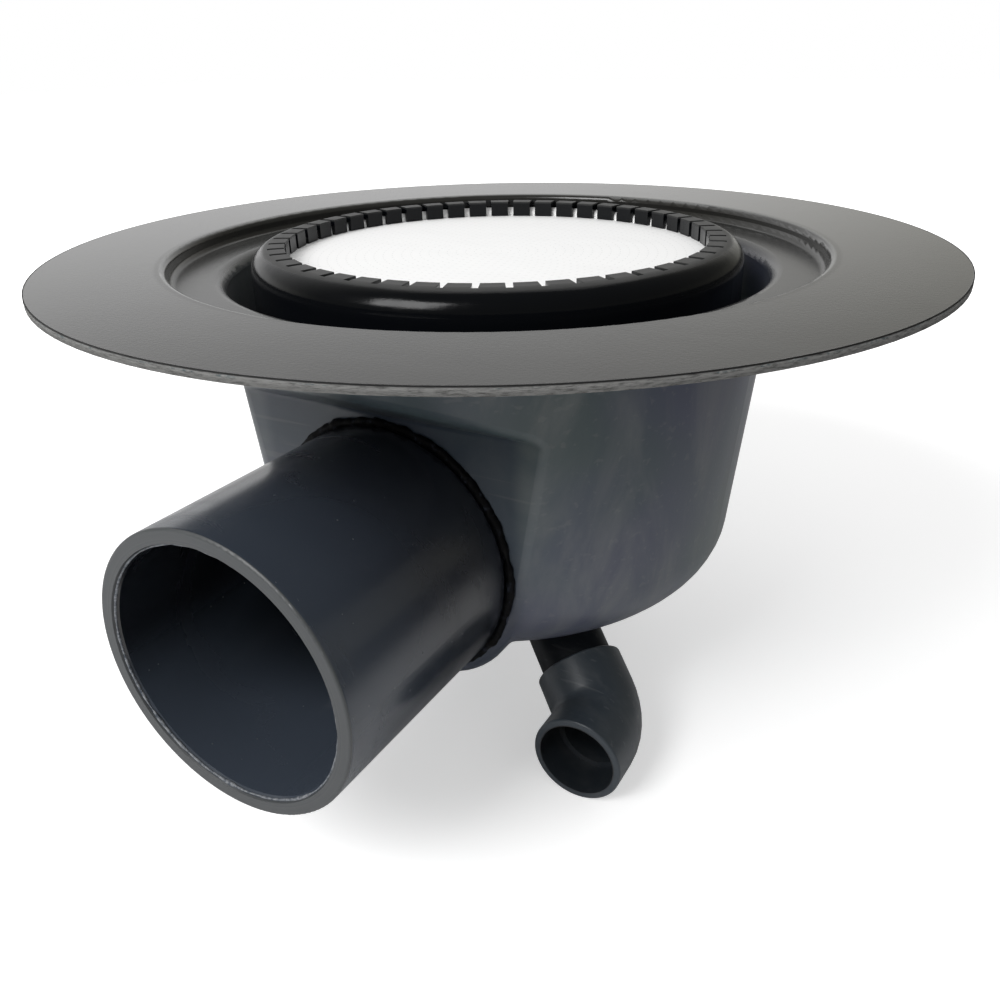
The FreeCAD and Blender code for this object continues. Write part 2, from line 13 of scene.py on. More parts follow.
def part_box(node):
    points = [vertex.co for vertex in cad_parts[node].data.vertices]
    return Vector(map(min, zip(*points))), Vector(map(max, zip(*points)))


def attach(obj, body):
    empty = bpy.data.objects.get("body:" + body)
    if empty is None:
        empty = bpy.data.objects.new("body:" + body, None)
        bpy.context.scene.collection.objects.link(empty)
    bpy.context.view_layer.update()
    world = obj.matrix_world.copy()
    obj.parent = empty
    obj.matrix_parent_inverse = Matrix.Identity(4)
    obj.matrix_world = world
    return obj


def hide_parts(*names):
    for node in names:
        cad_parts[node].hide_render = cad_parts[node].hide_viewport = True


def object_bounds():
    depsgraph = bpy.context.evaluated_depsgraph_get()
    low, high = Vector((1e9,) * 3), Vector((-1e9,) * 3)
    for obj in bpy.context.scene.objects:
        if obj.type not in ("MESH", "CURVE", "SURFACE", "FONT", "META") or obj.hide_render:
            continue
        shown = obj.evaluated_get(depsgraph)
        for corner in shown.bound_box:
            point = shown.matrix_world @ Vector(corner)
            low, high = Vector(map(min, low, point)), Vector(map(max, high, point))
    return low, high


bl_info = {
    "name": "Pond Bottom Drain",
    "version": (1, 0, 0),
    "blender": (4, 5, 0),
    "location": "View3D > Sidebar > Drain",
    "description": "Finishes, glue beads and stage of a pond bottom drain with an aerated dome",
    "category": "Object",
}

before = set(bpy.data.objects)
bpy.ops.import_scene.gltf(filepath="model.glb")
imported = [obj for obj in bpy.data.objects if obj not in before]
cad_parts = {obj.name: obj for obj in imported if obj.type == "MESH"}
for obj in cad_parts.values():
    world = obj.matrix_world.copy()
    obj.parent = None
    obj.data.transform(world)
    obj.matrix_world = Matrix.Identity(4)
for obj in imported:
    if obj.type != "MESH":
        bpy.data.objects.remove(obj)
CAD_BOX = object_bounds()

FLANGE_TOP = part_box("drain_body")[1].z
FLANGE_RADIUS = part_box("drain_body")[1].x
PIPE_LOW, PIPE_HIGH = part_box("outlet_pipe")
PIPE_RADIUS = (PIPE_HIGH.x - PIPE_LOW.x) / 2
PIPE_LEVEL = (PIPE_HIGH.z + PIPE_LOW.z) / 2
PIPE_END = PIPE_LOW.y
PAD_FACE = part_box("outlet_weld")[1].y
RING_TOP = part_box("retaining_ring")[1].z
AIR_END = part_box("air_elbow_outer")[0].y

# Sizes that the solids' boxes don't show: the recess's rounded lip, the pipe's wall and
# its bevelled mouth, and the middle (across and up) and the bore of the air line's mouth.
LIP_START = 0.1389
LIP_END = 0.1414
PIPE_WALL = 0.0066
MOUTH_BEVEL = 0.0012
AIR_MOUTH = (0.0853, -0.1837)
AIR_BORE = 0.016

# How finely the torn edges and the glue wander, and how they start out.
FINE_TEAR = 0.0035
COARSE_TEAR = 0.009
FINE_BLOBS = 0.003
COARSE_BLOBS = 0.009
BURR_BELOW_TOP = 0.0009
RING_SIDES = 10

# Shares of the membrane's own colour in its slits, where the darker colour is painted shade, and in its
# cloudy places.
SLIT_SHADE = 0.84
CLOUD_SHADE = 0.97

WHITE = (1.0, 1.0, 1.0, 1.0)
FLOOR_WHITE = (0.86, 0.86, 0.86, 1.0)
FLOOR_DIM = (0.1, 0.1, 0.1, 1.0)
FLOOR_SIZE = 14.0
SENSOR_WIDTH = 36.0


class FinishSettings(bpy.types.PropertyGroup):
    """Colours and gloss of the drain's finishes."""

    sheet_colour: FloatVectorProperty(
        name="Sheet", description="Colour of the formed sheet", subtype="COLOR", size=3, min=0, max=1,
        default=(0.051, 0.071, 0.076))
    sheet_cool_colour: FloatVectorProperty(
        name="Cool sheet", description="Colour that the sheet drifts to in places", subtype="COLOR", size=3,
        min=0, max=1, default=(0.057, 0.064, 0.094))
    sheet_top_colour: FloatVectorProperty(
        name="Sheet top", description="Colour of the sheet's glossier upper skin", subtype="COLOR", size=3,
        min=0, max=1, default=(0.018, 0.0175, 0.016))
    # The pad's darker colour is painted shade under the flange.
    pad_shade_colour: FloatVectorProperty(
        name="Pad", description="Colour of the pad where it was cleaned for the glue", subtype="COLOR",
        size=3, min=0, max=1, default=(0.020, 0.027, 0.046))
    # Also the colour of painted light on the sheet's left side and of the painted highlight on the recess's
    # lip.
    smear_and_light_colour: FloatVectorProperty(
        name="Sheet smears", description="Colour of wiped marks on the sheet", subtype="COLOR", size=3,
        min=0, max=1, default=(0.17, 0.175, 0.172))
    sawn_colour: FloatVectorProperty(
        name="Sawn edge", description="Colour of the flange's sawn edge", subtype="COLOR", size=3,
        min=0, max=1, default=(0.19, 0.19, 0.185))
    pipe_colour: FloatVectorProperty(
        name="Outlet pipe", description="Colour of the outlet pipe", subtype="COLOR", size=3, min=0, max=1,
        default=(0.018, 0.021, 0.029))
    # The bore's paler colour is painted light inside the pipe.
    bore_colour: FloatVectorProperty(
        name="Outlet bore", description="Colour of the outlet pipe inside", subtype="COLOR", size=3,
        min=0, max=1, default=(0.042, 0.052, 0.069))
    pipe_end_colour: FloatVectorProperty(
        name="Pipe end", description="Colour of the outlet pipe's cut end", subtype="COLOR", size=3,
        min=0, max=1, default=(0.057, 0.062, 0.061))
    burr_colour: FloatVectorProperty(
        name="Pipe burr", description="Colour of the pipe's torn inner edge", subtype="COLOR", size=3,
        min=0, max=1, default=(0.21, 0.22, 0.235))
    # The glue's black, also used for painted shade in the outlet's bore and the air line's mouth.
    glue_and_shade_colour: FloatVectorProperty(
        name="Adhesive", description="Colour of the glue beads", subtype="COLOR", size=3, min=0, max=1,
        default=(0.002, 0.002, 0.0025))
    fitting_colour: FloatVectorProperty(
        name="Air fittings", description="Colour of the air line's moulded fittings", subtype="COLOR",
        size=3, min=0, max=1, default=(0.029, 0.037, 0.046))
    air_pipe_colour: FloatVectorProperty(
        name="Air pipe", description="Colour of the straight air pipes", subtype="COLOR", size=3,
        min=0, max=1, default=(0.008, 0.0095, 0.012))
    dome_colour: FloatVectorProperty(
        name="Dome", description="Colour of the ring and the diffuser's base", subtype="COLOR", size=3,
        min=0, max=1, default=(0.0025, 0.003, 0.004))
    rubber_colour: FloatVectorProperty(
        name="Rubber", description="Colour of the seals", subtype="COLOR", size=3, min=0, max=1,
        default=(0.012, 0.012, 0.012))
    membrane_colour: FloatVectorProperty(
        name="Membrane", description="Colour of the diffuser's membrane", subtype="COLOR", size=3,
        min=0, max=1, default=(0.95, 0.95, 0.945))
    slit_pitch: FloatProperty(
        name="Slit pitch", description="Distance between the membrane's rings of slits", unit="LENGTH",
        min=0.001, max=0.02, default=0.004)


class BeadSettings(bpy.types.PropertyGroup):
    """Sizes of the glue bead and of the sawn edges' burrs."""

    bead_section: FloatProperty(
        name="Bead section", description="Radius of the outlet's glue bead", unit="LENGTH",
        min=0.0005, max=0.005, default=0.0017)
    bead_raggedness: FloatProperty(
        name="Bead raggedness", description="How far the glue bead wanders", unit="LENGTH",
        min=0, max=0.004, default=0.0021)
    burr_section: FloatProperty(
        name="Burr section", description="Radius of the burr at a sawn edge", unit="LENGTH",
        min=0.0001, max=0.002, default=0.00045)
    burr_raggedness: FloatProperty(
        name="Burr raggedness", description="How far the burr wanders", unit="LENGTH",
        min=0, max=0.002, default=0.0011)
    ring_steps: IntProperty(
        name="Steps", description="Steps round each bead", min=24, max=1440, default=360)


class StageSettings(bpy.types.PropertyGroup):
    """Camera and light of the plain studio."""

    camera_place: FloatVectorProperty(
        name="Camera", description="Place of the camera", subtype="TRANSLATION", unit="LENGTH", size=3,
        default=(0.2065, -0.3582, 0.0795))
    camera_right: FloatVectorProperty(
        name="Camera right", description="Direction to the right of the picture", subtype="DIRECTION",
        size=3, default=(0.8697, 0.4931, -0.0204))
    camera_up: FloatVectorProperty(
        name="Camera up", description="Direction to the top of the picture", subtype="DIRECTION", size=3,
        default=(-0.2028, 0.3947, 0.8962))
    lens: FloatProperty(
        name="Lens", description="Focal length on a 36 mm sensor", unit="CAMERA", default=33.235)
    sky_strength: FloatProperty(
        name="Sky", description="Strength of the even light from all round", min=0, max=2, default=0.5)
    bright_side: FloatVectorProperty(
        name="Bright side", description="Direction to the bright side of the room", subtype="DIRECTION",
        size=3, default=(-0.8, 0.6, 0.1))
    bright_strength: FloatProperty(
        name="Bright gloss", description="Strength of the bright side in gloss", min=0, max=2, default=0.97)
    dim_strength: FloatProperty(
        name="Dim gloss", description="Strength of the other side in gloss", min=0, max=2, default=0.2)
    ceiling_share: FloatProperty(
        name="Ceiling gloss", description="Share of that strength that is left high up", subtype="FACTOR",
        min=0, max=1, default=0.74)
    dim_tint: FloatVectorProperty(
        name="Dim tint", description="Tint of the other side in gloss", subtype="COLOR", size=3,
        min=0, max=1, default=(1.0, 0.975, 0.84))
    key_place: FloatVectorProperty(
        name="Key place", description="Place of the large lamp in front", subtype="TRANSLATION",
        unit="LENGTH", size=3, default=(-0.35, -1.3, 1.0))
    key_width: FloatProperty(
        name="Key width", description="Width of the large lamp in front", unit="LENGTH", min=0.1, max=4,
        default=0.8)
    key_power: FloatProperty(
        name="Key", description="Power of the large lamp in front", unit="POWER", min=0, max=200,
        default=22.0)
    back_place: FloatVectorProperty(
        name="Back place", description="Place of the lamp above the far side", subtype="TRANSLATION",
        unit="LENGTH", size=3, default=(-0.5, 1.0, 1.6))
    back_width: FloatProperty(
        name="Back width", description="Width of the lamp above the far side", unit="LENGTH", min=0.1, max=4,
        default=1.4)
    back_power: FloatProperty(
        name="Back", description="Power of the lamp above the far side", unit="POWER", min=0, max=200,
        default=5.0)
    floor_lift: FloatProperty(
        name="Floor lift", description="How far the floor is lifted to white for the camera", min=0, max=1,
        default=0.45)


def feed(tree, socket, value):
    """Link a socket to another node's output, or set it to a constant."""
    if isinstance(value, bpy.types.NodeSocket):
        tree.links.new(value, socket)
    else:
        socket.default_value = value


def add_node(tree, kind, inputs, **settings):
    """A node with its settings made and its inputs fed, by name or number."""
    made = tree.nodes.new(kind)
    for name, value in settings.items():
        setattr(made, name, value)
    for key, value in inputs.items():
        feed(tree, made.inputs[key], value)
    return made


def maths(tree, operation, *values):
    made = add_node(tree, "ShaderNodeMath", dict(enumerate(values)), operation=operation)
    return made.outputs[0]


def times(tree, first, second):
    return maths(tree, "MULTIPLY", first, second)


def fade(tree, value, start, end):
    """0 to 1 as a value goes from start to end, softly."""
    made = add_node(tree, "ShaderNodeMapRange", {"Value": value, "From Min": start, "From Max": end},
                    interpolation_type="SMOOTHSTEP")
    return made.outputs["Result"]


def between(tree, share, low, high):
    """A value from low to high as a share goes from 0 to 1."""
    made = add_node(tree, "ShaderNodeMapRange", {"Value": share, "To Min": low, "To Max": high})
    return made.outputs["Result"]


def mix_colour(tree, share, plain, other):
    made = add_node(tree, "ShaderNodeMix", {0: share, 6: plain, 7: other}, data_type="RGBA")
    return made.outputs[2]


def opaque(colour):
    return (*colour, 1.0)


def new_group(name, inputs, outputs):
    """An empty shader group with named sockets, and its input and output nodes."""
    group = bpy.data.node_groups.new(name, "ShaderNodeTree")
    for label, kind in inputs:
        group.interface.new_socket(label, in_out="INPUT", socket_type=kind)
    for label, kind in outputs:
        group.interface.new_socket(label, in_out="OUTPUT", socket_type=kind)
    entry = group.nodes.new("NodeGroupInput")
    leave = group.nodes.new("NodeGroupOutput")
    return group, entry, leave


def smear_group(name):
    """Soft wiped marks, as left by a cloth."""
    inputs = [("Vector", "NodeSocketVector"), ("Scale", "NodeSocketFloat"), ("Start", "NodeSocketFloat"),
              ("End", "NodeSocketFloat")]
    group, entry, leave = new_group(name, inputs, [("Mask", "NodeSocketFloat")])
    stretched = add_node(group, "ShaderNodeMapping", {
        "Vector": entry.outputs["Vector"], "Rotation": (0.3, 0.2, 0.7), "Scale": (1.0, 2.6, 0.8)})
    clouds = add_node(group, "ShaderNodeTexNoise", {
        "Vector": stretched.outputs[0], "Scale": entry.outputs["Scale"], "Detail": 6.0, "Roughness": 0.62,
        "Distortion": 0.8})
    mask = fade(group, clouds.outputs[0], entry.outputs["Start"], entry.outputs["End"])
    feed(group, leave.inputs["Mask"], mask)
    return group


def scratch_group(name):
    """Hair scratches in two directions."""
    inputs = [("Vector", "NodeSocketVector"), ("Scale", "NodeSocketFloat"), ("Start", "NodeSocketFloat"),
              ("End", "NodeSocketFloat")]
    group, entry, leave = new_group(name, inputs, [("Mask", "NodeSocketFloat")])
    masks = []
    for turn in ((0.2, 0.5, 0.4), (1.1, -0.3, 2.0)):
        stretched = add_node(group, "ShaderNodeMapping", {
            "Vector": entry.outputs["Vector"], "Rotation": turn, "Scale": (0.03, 1.0, 1.0)})
        lines = add_node(group, "ShaderNodeTexNoise", {
            "Vector": stretched.outputs[0], "Scale": entry.outputs["Scale"], "Detail": 2.0})
        masks.append(fade(group, lines.outputs[0], entry.outputs["Start"], entry.outputs["End"]))
    feed(group, leave.inputs["Mask"], maths(group, "MAXIMUM", *masks))
    return group


def speck_group(name):
    """Small scattered specks of dust."""
    inputs = [("Vector", "NodeSocketVector"), ("Scale", "NodeSocketFloat"), ("Size", "NodeSocketFloat"),
              ("Share", "NodeSocketFloat")]
    group, entry, leave = new_group(name, inputs, [("Mask", "NodeSocketFloat")])
    cells = add_node(group, "ShaderNodeTexVoronoi", {
        "Vector": entry.outputs["Vector"], "Scale": entry.outputs["Scale"]})
    near = maths(group, "LESS_THAN", cells.outputs["Distance"], entry.outputs["Size"])
    tone = add_node(group, "ShaderNodeSeparateColor", {"Color": cells.outputs["Color"]})
    chosen = maths(group, "LESS_THAN", tone.outputs[0], entry.outputs["Share"])
    feed(group, leave.inputs["Mask"], times(group, near, chosen))
    return group


def grain_group(name):
    """Fine grain over soft waves, as a moulded or formed skin has."""
    inputs = [("Vector", "NodeSocketVector"), ("Grain", "NodeSocketFloat"), ("Waves", "NodeSocketFloat"),
              ("Wave Share", "NodeSocketFloat")]
    group, entry, leave = new_group(name, inputs, [("Height", "NodeSocketFloat")])
    heights = []
    for scale in ("Grain", "Waves"):
        noise = add_node(group, "ShaderNodeTexNoise", {
            "Vector": entry.outputs["Vector"], "Scale": entry.outputs[scale], "Detail": 3.0})
        heights.append(noise.outputs[0])
    waves = times(group, heights[1], entry.outputs["Wave Share"])
    feed(group, leave.inputs["Height"], maths(group, "ADD", heights[0], waves))
    return group


def effect(tree, name, build, **inputs):
    """Place a shared effect in a material, building its group the first time."""
    made = tree.nodes.new("ShaderNodeGroup")
    made.node_tree = bpy.data.node_groups.get(name) or build(name)
    for key, value in inputs.items():
        feed(tree, made.inputs[key.replace("_", " ").title()], value)
    return made.outputs[0]


def smears(tree, place, scale, start, end):
    return effect(tree, "Wiped Smears", smear_group, vector=place, scale=scale, start=start, end=end)


def scratches(tree, place, scale, start, end):
    return effect(tree, "Hair Scratches", scratch_group, vector=place, scale=scale, start=start, end=end)


def specks(tree, place, scale, size, share):
    return effect(tree, "Dust Specks", speck_group, vector=place, scale=scale, size=size, share=share)


def skin_grain(tree, place, grain, waves, wave_share):
    return effect(tree, "Skin Grain", grain_group, vector=place, grain=grain, waves=waves,
                  wave_share=wave_share)


def new_finish(name):
    """A material with its shader tree, its shader and the place on the part in metres."""
    material = bpy.data.materials.new(name)
    material.use_nodes = True
    tree = material.node_tree
    shader = tree.nodes["Principled BSDF"]
    place = tree.nodes.new("ShaderNodeTexCoord").outputs["Object"]
    return material, tree, shader, place


def set_bump(tree, shader, height, depth):
    """Raise a surface by a height pattern, with its depth in metres."""
    bump = add_node(tree, "ShaderNodeBump", {"Height": height, "Distance": depth, "Strength": 1.0})
    feed(tree, shader.inputs["Normal"], bump.outputs["Normal"])


def reach_from_axis(tree, place, along):
    """Distance from the upright axis, or from the outlet's axis when along is "Y"."""
    parts = add_node(tree, "ShaderNodeSeparateXYZ", {0: place})
    if along == "Z":
        across = (parts.outputs["X"], parts.outputs["Y"])
    else:
        across = (parts.outputs["X"], maths(tree, "SUBTRACT", parts.outputs["Z"], PIPE_LEVEL))
    squares = [times(tree, side, side) for side in across]
    return maths(tree, "SQRT", maths(tree, "ADD", *squares)), parts


def sheet_finish(settings):
    """Satin formed sheet, wiped and lightly scratched, glossier on its top, with a sawn edge and painted
    light and shade.
    """
    material, tree, shader, place = new_finish("formed_sheet")
    reach, parts = reach_from_axis(tree, place, "Z")
    wiped = smears(tree, place, scale=14.0, start=0.42, end=0.72)
    scratched = scratches(tree, place, scale=300.0, start=0.64, end=0.72)
    sawn = fade(tree, reach, FLANGE_RADIUS - 0.0006, FLANGE_RADIUS - 0.0003)
    streaks = add_node(tree, "ShaderNodeMapping", {"Vector": place, "Scale": (1.0, 1.0, 7.0)})
    saw_marks = add_node(tree, "ShaderNodeTexNoise", {
        "Vector": streaks.outputs[0], "Scale": 260.0, "Detail": 5.0, "Roughness": 0.7})

    # Glossy upper skin, painted shade on the pad under the flange, and chalky marks with painted light on
    # the left side.
    top = fade(tree, parts.outputs["Z"], FLANGE_TOP - 0.016, FLANGE_TOP - 0.006)
    side = maths(tree, "SUBTRACT", 1.0, top)
    # Painted shade: the pad under the flange is darkened and its smears are thinned.
    off_pad = maths(tree, "ABSOLUTE", maths(tree, "SUBTRACT", parts.outputs["Y"], PAD_FACE))
    off_middle = maths(tree, "ABSOLUTE", parts.outputs["X"])
    shaded_pad = times(tree, fade(tree, off_pad, 0.004, 0.001), fade(tree, off_middle, 0.064, 0.056))
    # Pale chalky marks on the left, partly painted light where the left side is lit.
    chalk_and_left_light = times(tree, fade(tree, parts.outputs["X"], -0.045, -0.075),
                   fade(tree, parts.outputs["Z"], -0.10, -0.04))
    wiped = times(tree, maths(tree, "ADD", wiped, chalk_and_left_light), between(tree, side, 0.08, 1.0))
    wiped = times(tree, wiped, between(tree, shaded_pad, 1.0, 0.4))
    drift = add_node(tree, "ShaderNodeTexNoise", {"Vector": place, "Scale": 11.0, "Detail": 2.0})
    skin = mix_colour(tree, fade(tree, drift.outputs[0], 0.32, 0.6), opaque(settings.sheet_colour),
                      opaque(settings.sheet_cool_colour))
    skin = mix_colour(tree, times(tree, shaded_pad, 0.6), skin, opaque(settings.pad_shade_colour))
    skin = mix_colour(tree, top, skin, opaque(settings.sheet_top_colour))
    skin = mix_colour(tree, times(tree, wiped, 0.42), skin, opaque(settings.smear_and_light_colour))
    skin = mix_colour(tree, times(tree, times(tree, scratched, side), 0.14), skin,
                      opaque(settings.sawn_colour))

    # Sawn edge: pale and torn, with a black line above and a darker foot.
    torn = mix_colour(tree, fade(tree, saw_marks.outputs[0], 0.22, 0.6), opaque(settings.sheet_top_colour),
                      opaque(settings.sawn_colour))
    upper_edge = fade(tree, parts.outputs["Z"], FLANGE_TOP - 0.0007, FLANGE_TOP - 0.0003)
    torn = mix_colour(tree, upper_edge, torn, opaque(settings.glue_and_shade_colour))
    lower_edge = fade(tree, parts.outputs["Z"], FLANGE_TOP - 0.0012, FLANGE_TOP - 0.0022)
    torn = mix_colour(tree, times(tree, lower_edge, 0.3), torn, opaque(settings.sheet_top_colour))

    # Painted highlight: a pale line on the recess's rounded lip.
    on_lip = times(tree, fade(tree, reach, LIP_START + 0.001, LIP_END - 0.0007),
                   fade(tree, reach, LIP_END + 0.0003, LIP_END - 0.0003))
    lip_highlight = times(tree, times(tree, on_lip, top), 0.5)
    skin = mix_colour(tree, lip_highlight, skin, opaque(settings.smear_and_light_colour))
    feed(tree, shader.inputs["Base Color"], mix_colour(tree, sawn, skin, torn))

    # Gloss: sharpest on the flange's top, duller inside the lip, on smears and on the cut.
    inner = times(tree, fade(tree, reach, LIP_END + 0.003, LIP_END + 0.001), top)
    gloss = maths(tree, "ADD", between(tree, top, 0.36, 0.16), times(tree, inner, 0.06))
    gloss = maths(tree, "ADD", gloss, times(tree, wiped, 0.10))
    feed(tree, shader.inputs["Roughness"], maths(tree, "MAXIMUM", gloss, times(tree, sawn, 0.75)))
    grain = skin_grain(tree, place, grain=900.0, waves=24.0, wave_share=1.2)
    rough_cut = times(tree, times(tree, saw_marks.outputs[0], sawn), 14.0)
    set_bump(tree, shader, maths(tree, "ADD", grain, rough_cut), 0.00003)
    return material


def pipe_finish(settings):
    """Smooth extruded pipe with fine specks, draw lines along it, a turned end and painted light and shade.
    """
    material, tree, shader, place = new_finish("outlet_pipe")
    reach, parts = reach_from_axis(tree, place, "Y")
    end = fade(tree, parts.outputs["Y"], PIPE_END + 0.0011, PIPE_END + 0.0005)
    wiped = smears(tree, place, scale=16.0, start=0.45, end=0.75)
    dust = specks(tree, place, scale=420.0, size=0.15, share=0.018)
    scratched = scratches(tree, place, scale=260.0, start=0.69, end=0.74)
    outward = add_node(tree, "ShaderNodeCombineXYZ", {0: reach})
    turned = add_node(tree, "ShaderNodeTexNoise", {
        "Vector": outward.outputs[0], "Scale": 1800.0, "Detail": 2.0})
    marks = maths(tree, "MAXIMUM", times(tree, dust, 0.4), times(tree, scratched, 0.05))

    # Painted light and shade: paler inside the bore and towards the mouth, darker near the pad, deep down
    # and under the bore's top.
    # Painted light: the bore and the pipe near its mouth are made paler.
    inside = fade(tree, reach, PIPE_RADIUS - 0.003, PIPE_RADIUS - 0.005)
    mouth_light = fade(tree, parts.outputs["Y"], PIPE_END + 0.065, PIPE_END + 0.005)
    painted_light = maths(tree, "MAXIMUM", inside, times(tree, mouth_light, 0.8))
    skin = mix_colour(tree, painted_light, opaque(settings.pipe_colour), opaque(settings.bore_colour))
    # Painted shade near the pad, deep down and under the bore's top.
    painted_shade = fade(tree, parts.outputs["Y"], PIPE_END + 0.035, PIPE_END + 0.105)
    under_top = fade(tree, parts.outputs["Z"], PIPE_LEVEL - 0.025, PIPE_LEVEL + 0.003)
    painted_shade = maths(tree, "MAXIMUM", painted_shade, times(tree, inside, under_top))
    darker = times(tree, painted_shade, between(tree, inside, 0.6, 0.92))
    skin = mix_colour(tree, darker, skin, opaque(settings.glue_and_shade_colour))
    skin = mix_colour(tree, marks, skin, opaque(settings.pipe_end_colour))
    cut = mix_colour(tree, turned.outputs[0], opaque(settings.pipe_colour), opaque(settings.pipe_end_colour))
    feed(tree, shader.inputs["Base Color"], mix_colour(tree, end, skin, cut))

    gloss = maths(tree, "ADD", between(tree, wiped, 0.20, 0.34), times(tree, marks, 0.3))
    feed(tree, shader.inputs["Roughness"], maths(tree, "MAXIMUM", gloss, times(tree, end, 0.48)))
    drawn = add_node(tree, "ShaderNodeMapping", {"Vector": place, "Scale": (1.0, 0.05, 1.0)})
    grain = skin_grain(tree, drawn.outputs[0], grain=700.0, waves=60.0, wave_share=4.0)
    rings = times(tree, times(tree, turned.outputs[0], end), 3.0)
    shader.inputs["Specular IOR Level"].default_value = 0.7
    set_bump(tree, shader, maths(tree, "ADD", grain, rings), 0.00002)
    return material


def adhesive_finish(settings):
    """Black glue, glossy in the blobs and dull between them."""
    material, tree, shader, place = new_finish("adhesive")
    lumps = add_node(tree, "ShaderNodeTexNoise", {"Vector": place, "Scale": 420.0, "Detail": 4.0})
    dusted = mix_colour(tree, fade(tree, lumps.outputs[0], 0.55, 0.75), opaque(settings.glue_and_shade_colour),
                        opaque(settings.pipe_colour))
    feed(tree, shader.inputs["Base Color"], dusted)
    feed(tree, shader.inputs["Roughness"], between(tree, lumps.outputs[0], 0.35, 0.75))
    shader.inputs["Specular IOR Level"].default_value = 0.08
    set_bump(tree, shader, lumps.outputs[0], 0.0004)
    return material


def burr_finish(name, colour, torn_colour):
    """Torn plastic left by the saw."""
    material, tree, shader, place = new_finish(name)
    torn = add_node(tree, "ShaderNodeTexNoise", {"Vector": place, "Scale": 700.0, "Detail": 4.0})
    feed(tree, shader.inputs["Base Color"], mix_colour(
        tree, fade(tree, torn.outputs[0], 0.3, 0.65), opaque(colour), opaque(torn_colour)))
    feed(tree, shader.inputs["Roughness"], between(tree, torn.outputs[0], 0.45, 0.8))
    set_bump(tree, shader, torn.outputs[0], 0.0003)
    return material


def fitting_finish(settings, name, colour, wear, shine):
    """Satin moulded fitting with fine grain, handling marks and painted shade inside the air line's mouth.
    """
    material, tree, shader, place = new_finish(name)
    wiped = smears(tree, place, scale=40.0, start=0.45, end=0.75)
    scratched = scratches(tree, place, scale=420.0, start=0.66, end=0.72)
    marks = maths(tree, "MAXIMUM", times(tree, wiped, 0.14), times(tree, scratched, 0.15))
    marks = times(tree, marks, wear)

    # Painted shade inside the air line's mouth, most of all under its top.
    centred = add_node(tree, "ShaderNodeMapping", {
        "Vector": place, "Location": (-AIR_MOUTH[0], 0, PIPE_LEVEL - AIR_MOUTH[1])})
    reach, parts = reach_from_axis(tree, centred.outputs[0], "Y")
    inside = times(tree, fade(tree, reach, AIR_BORE + 0.001, AIR_BORE + 0.0003),
                   fade(tree, parts.outputs["Y"], AIR_END + 0.034, AIR_END + 0.028))
    under_top = fade(tree, parts.outputs["Z"], PIPE_LEVEL - 0.011, PIPE_LEVEL + 0.001)
    painted_shade = times(tree, inside, between(tree, under_top, 0.45, 0.92))
    skin = mix_colour(tree, marks, opaque(colour), opaque(settings.sawn_colour))
    feed(tree, shader.inputs["Base Color"], mix_colour(
        tree, painted_shade, skin, opaque(settings.glue_and_shade_colour)))
    feed(tree, shader.inputs["Roughness"], between(tree, wiped, 0.40, 0.52))
    shader.inputs["Specular IOR Level"].default_value = shine
    set_bump(tree, shader, skin_grain(tree, place, grain=1500.0, waves=120.0, wave_share=2.0), 0.00003)
    return material


def dome_finish(settings):
    """Black moulded ring and base: satin sides, matt rubbed top with worn teeth."""
    material, tree, shader, place = new_finish("dome_plastic")
    height = add_node(tree, "ShaderNodeSeparateXYZ", {0: place}).outputs["Z"]
    rubbed = fade(tree, height, RING_TOP - 0.0012, RING_TOP - 0.0002)
    wiped = smears(tree, place, scale=30.0, start=0.40, end=0.72)
    wear = times(tree, rubbed, between(tree, wiped, 0.10, 0.22))
    feed(tree, shader.inputs["Base Color"], mix_colour(
        tree, wear, opaque(settings.dome_colour), opaque(settings.sawn_colour)))
    feed(tree, shader.inputs["Roughness"], maths(
        tree, "ADD", between(tree, wiped, 0.14, 0.22), times(tree, rubbed, 0.28)))
    shader.inputs["Specular IOR Level"].default_value = 0.18
    set_bump(tree, shader, skin_grain(tree, place, grain=1400.0, waves=160.0, wave_share=1.5), 0.00003)
    return material


def membrane_finish(settings):
    """White membrane with rings of short fine slits."""
    material, tree, shader, place = new_finish("membrane")
    reach, parts = reach_from_axis(tree, place, "Z")
    turns = maths(tree, "DIVIDE", reach, settings.slit_pitch)
    ring = maths(tree, "FLOOR", turns)
    off_line = maths(tree, "ABSOLUTE", maths(tree, "SUBTRACT", maths(tree, "FRACT", turns), 0.5))
    on_line = maths(tree, "LESS_THAN", off_line, 0.05)
    angle = maths(tree, "ARCTAN2", parts.outputs["Y"], parts.outputs["X"])
    arc = times(tree, angle, maths(tree, "ADD", ring, 0.5))
    stagger = times(tree, ring, 0.37)
    step = maths(tree, "FRACT", maths(tree, "ADD", arc, stagger))
    cut = times(tree, on_line, maths(tree, "LESS_THAN", step, 0.32))
    # Painted shade in the slits.
    in_slits = tuple(SLIT_SHADE * channel for channel in settings.membrane_colour)
    in_clouds = tuple(CLOUD_SHADE * channel for channel in settings.membrane_colour)
    cloudy = smears(tree, place, scale=22.0, start=0.40, end=0.80)
    skin = mix_colour(tree, cloudy, opaque(settings.membrane_colour), opaque(in_clouds))
    feed(tree, shader.inputs["Base Color"], mix_colour(tree, cut, skin, opaque(in_slits)))
    feed(tree, shader.inputs["Roughness"], between(tree, cloudy, 0.62, 0.74))
    grain = skin_grain(tree, place, grain=1600.0, waves=90.0, wave_share=2.0)
    set_bump(tree, shader, maths(tree, "SUBTRACT", grain, cut), 0.00004)
    return material


